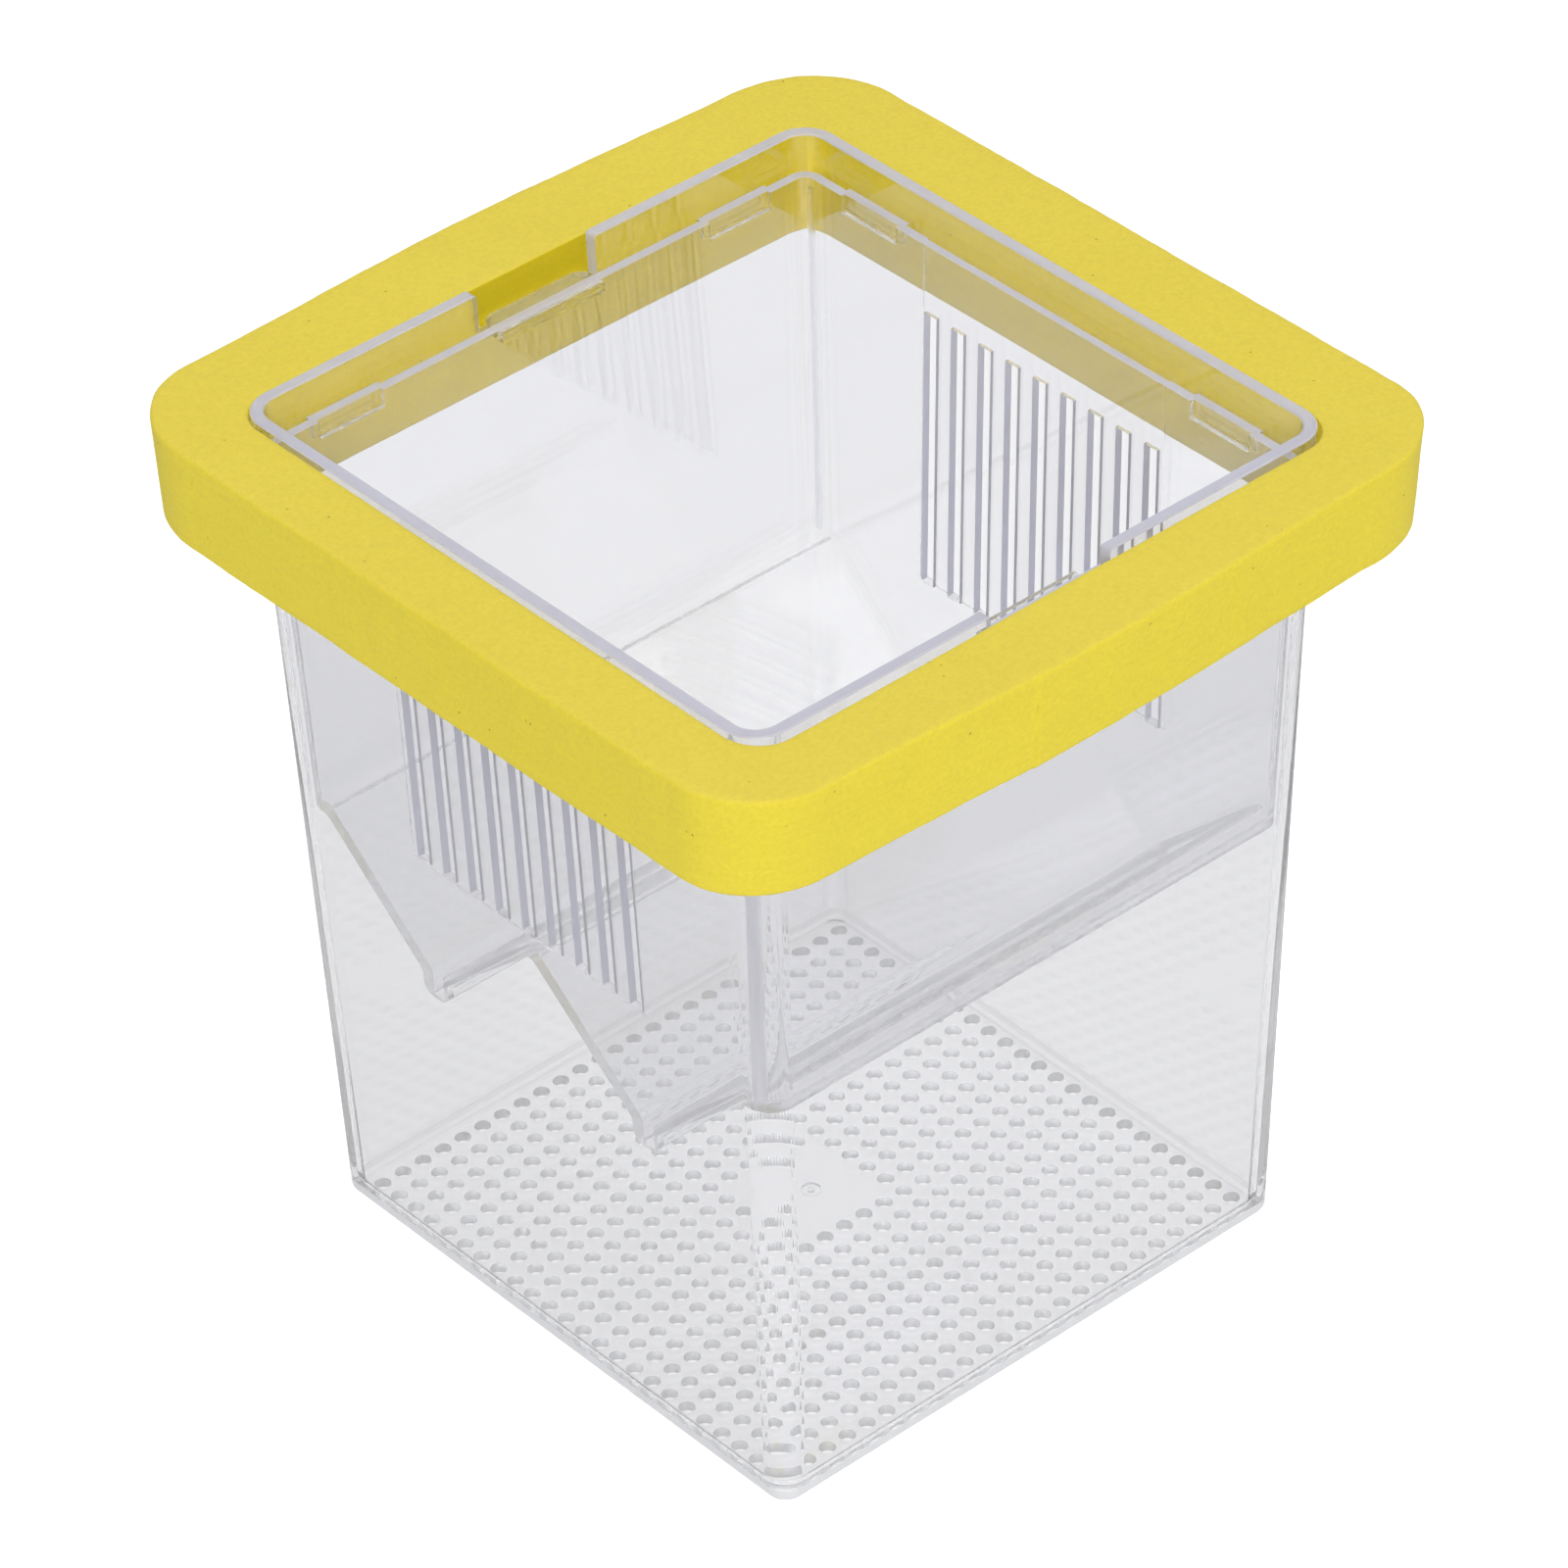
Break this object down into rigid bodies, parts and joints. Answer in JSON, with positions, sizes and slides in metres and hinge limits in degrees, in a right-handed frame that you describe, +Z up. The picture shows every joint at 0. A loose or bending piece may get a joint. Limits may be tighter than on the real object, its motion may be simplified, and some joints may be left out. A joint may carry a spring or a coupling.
{
  "type": "fish breeding box",
  "caption": "Floating breeding box: clear tapered tub with perforated floor, clear lift-out insert with W-shaped slotted floor and hanging tabs, and a foam float ring.",
  "frame": {"origin": "centre of the tub's footprint, on the underside of its floor", "axes": "+Z up; the troughs of the W-shaped insert floor run along Y, the slotted end walls face +Y and -Y, and the notches with the hanging tabs are in the +X and -X walls"},
  "size_m": [0.1426, 0.1406, 0.147],
  "materials": {
    "clear_tub": "clear polished polystyrene",
    "clear_insert": "clear polished polystyrene",
    "float_foam": "matte closed-cell EVA foam"
  },
  "bodies": {
    "tub": {"outer_box": "clear_tub"},
    "insert": {"breeding_insert": "clear_insert"},
    "float": {"foam_ring": "float_foam"}
  },
  "joints": [
    {"name": "insert_lift", "type": "slide", "parent": "tub", "child": "insert", "axis": [0, 0, 1], "range_m": [0, 0.095]},
    {"name": "ring_slide", "type": "slide", "parent": "tub", "child": "float", "axis": [0, 0, 1], "range_m": [-0.125, 0]}
  ]
}
